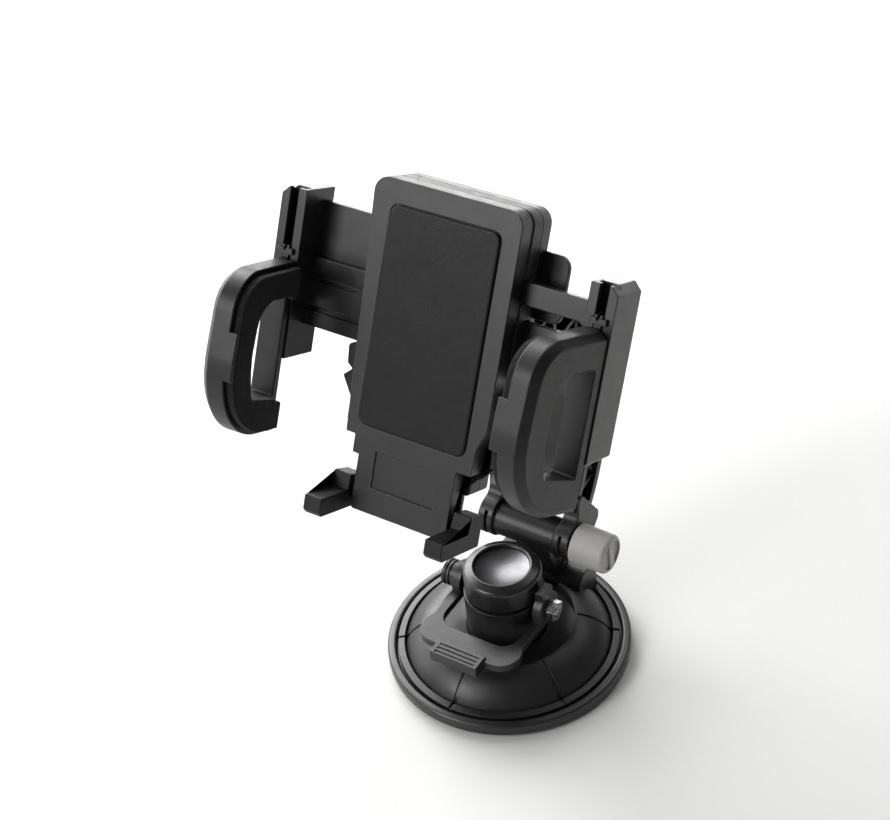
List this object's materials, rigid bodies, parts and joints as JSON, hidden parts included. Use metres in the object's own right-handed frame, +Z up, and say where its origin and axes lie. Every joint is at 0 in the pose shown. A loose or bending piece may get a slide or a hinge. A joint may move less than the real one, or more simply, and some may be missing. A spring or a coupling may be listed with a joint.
{
  "type": "car phone mount",
  "caption": "Suction-cup car phone mount: lever-locked base, two-hinge ribbed arm with a clamp knob, and a swivelling cradle with sliding padded clamp grips and fold-out feet.",
  "frame": {"origin": "centre of the suction cup's flat underside", "axes": "+Z up out of the surface the cup sticks to; the phone faces -Y and leans back; +X is the side of the grey knob"},
  "size_m": [0.1218, 0.1221, 0.2045],
  "materials": {
    "rubber": "satin moulded rubber",
    "shell_black": "satin moulded black plastic",
    "frame_black": "matt moulded black plastic",
    "arm_black": "satin moulded black plastic",
    "dish": "smooth grey satin",
    "knob_grey": "satin light grey",
    "foam": "fine closed-cell foam",
    "grip_foam": "fine closed-cell foam",
    "gear": "natural acetal",
    "brass_insert": "turned brass",
    "zinc": "zinc-plated steel"
  },
  "bodies": {
    "base": {"suction_cup": "rubber", "cup_plate": "zinc", "base_cover": "shell_black", "link_bolt": "zinc"},
    "post": {"post": "shell_black", "post_cap": "shell_black", "cap_dish": "dish", "lever_bolt": "zinc", "lever_nut": "zinc"},
    "lever": {"lever": "shell_black"},
    "link": {"link": "shell_black", "tilt_washers": "rubber"},
    "arm": {"swing_arm": "shell_black", "tilt_bolt": "zinc"},
    "knob": {"tilt_knob": "knob_grey", "knob_insert": "brass_insert"},
    "cradle": {"rear_shell": "shell_black", "mid_frame": "frame_black", "front_shell": "shell_black", "shell_screws": "zinc", "face_pad": "foam", "pinion_pin": "zinc", "swivel_screw": "zinc", "swivel_washer": "rubber"},
    "pinion": {"pinion": "gear"},
    "left_clamp": {"left_arm": "arm_black"},
    "right_clamp": {"right_arm": "arm_black"},
    "left_grip": {"left_grip": "shell_black", "left_grip_pad": "grip_foam", "left_grip_clip": "frame_black"},
    "right_grip": {"right_grip": "shell_black", "right_grip_pad": "grip_foam", "right_grip_clip": "frame_black"},
    "left_button": {"left_button": "frame_black"},
    "right_button": {"right_button": "frame_black"},
    "left_foot": {"left_foot": "arm_black"},
    "right_foot": {"right_foot": "arm_black"}
  },
  "joints": [
    {"name": "lever_lift", "type": "hinge", "parent": "post", "child": "lever", "pos_m": [0, 0, 0.028], "axis": [-1, 0, 0], "range_deg": [0, 80.5]},
    {"name": "post_drop", "type": "slide", "parent": "base", "child": "post", "axis": [0, 0, 1], "range_m": [-0.003, 0]},
    {"name": "link_lean", "type": "hinge", "parent": "base", "child": "link", "pos_m": [0, 0.0305, 0.0135], "axis": [-1, 0, 0], "range_deg": [0, 70]},
    {"name": "arm_tilt", "type": "hinge", "parent": "link", "child": "arm", "pos_m": [0, 0.0215, 0.042], "axis": [-1, 0, 0], "range_deg": [-20, 60]},
    {"name": "knob_turn", "type": "hinge", "parent": "arm", "child": "knob", "pos_m": [0.026, 0.0215, 0.042], "axis": [1, 0, 0], "continuous": true},
    {"name": "cradle_swivel", "type": "hinge", "parent": "arm", "child": "cradle", "pos_m": [0, -0.0105, 0.15752], "axis": [0, -0.8926, 0.4509], "continuous": true},
    {"name": "left_clamp_slide", "type": "slide", "parent": "cradle", "child": "left_clamp", "axis": [1, 0, 0], "range_m": [-0.002, 0.018]},
    {"name": "right_clamp_slide", "type": "slide", "parent": "cradle", "child": "right_clamp", "axis": [-1, 0, 0], "range_m": [-0.002, 0.018]},
    {"name": "pinion_spin", "type": "hinge", "parent": "cradle", "child": "pinion", "pos_m": [0, -0.01138, 0.16776], "axis": [0, -0.8926, 0.4509], "range_deg": [-246.6, 28.3]},
    {"name": "left_grip_slide", "type": "slide", "parent": "left_clamp", "child": "left_grip", "axis": [0, 0.4509, 0.8926], "range_m": [-0.008, 0.016]},
    {"name": "right_grip_slide", "type": "slide", "parent": "right_clamp", "child": "right_grip", "axis": [0, 0.4509, 0.8926], "range_m": [-0.014, 0.008]},
    {"name": "left_button_press", "type": "slide", "parent": "cradle", "child": "left_button", "axis": [1, 0, 0], "range_m": [0, 0.003], "stiffness_N_per_m": 400, "springref_m": -0.001},
    {"name": "right_button_press", "type": "slide", "parent": "cradle", "child": "right_button", "axis": [-1, 0, 0], "range_m": [0, 0.003], "stiffness_N_per_m": 400, "springref_m": -0.001},
    {"name": "left_foot_slide", "type": "slide", "parent": "cradle", "child": "left_foot", "axis": [-1, 0, 0], "range_m": [-0.001, 0.008]},
    {"name": "right_foot_slide", "type": "slide", "parent": "cradle", "child": "right_foot", "axis": [1, 0, 0], "range_m": [-0.001, 0.008]}
  ],
  "couplings": [
    {"joint": "right_clamp_slide", "follows": "left_clamp_slide", "ratio": 1},
    {"joint": "pinion_spin", "follows": "left_clamp_slide", "rad_per_m": -238.1},
    {"joint": "lever_lift", "follows": "post_drop", "rad_per_m": -465.42}
  ]
}
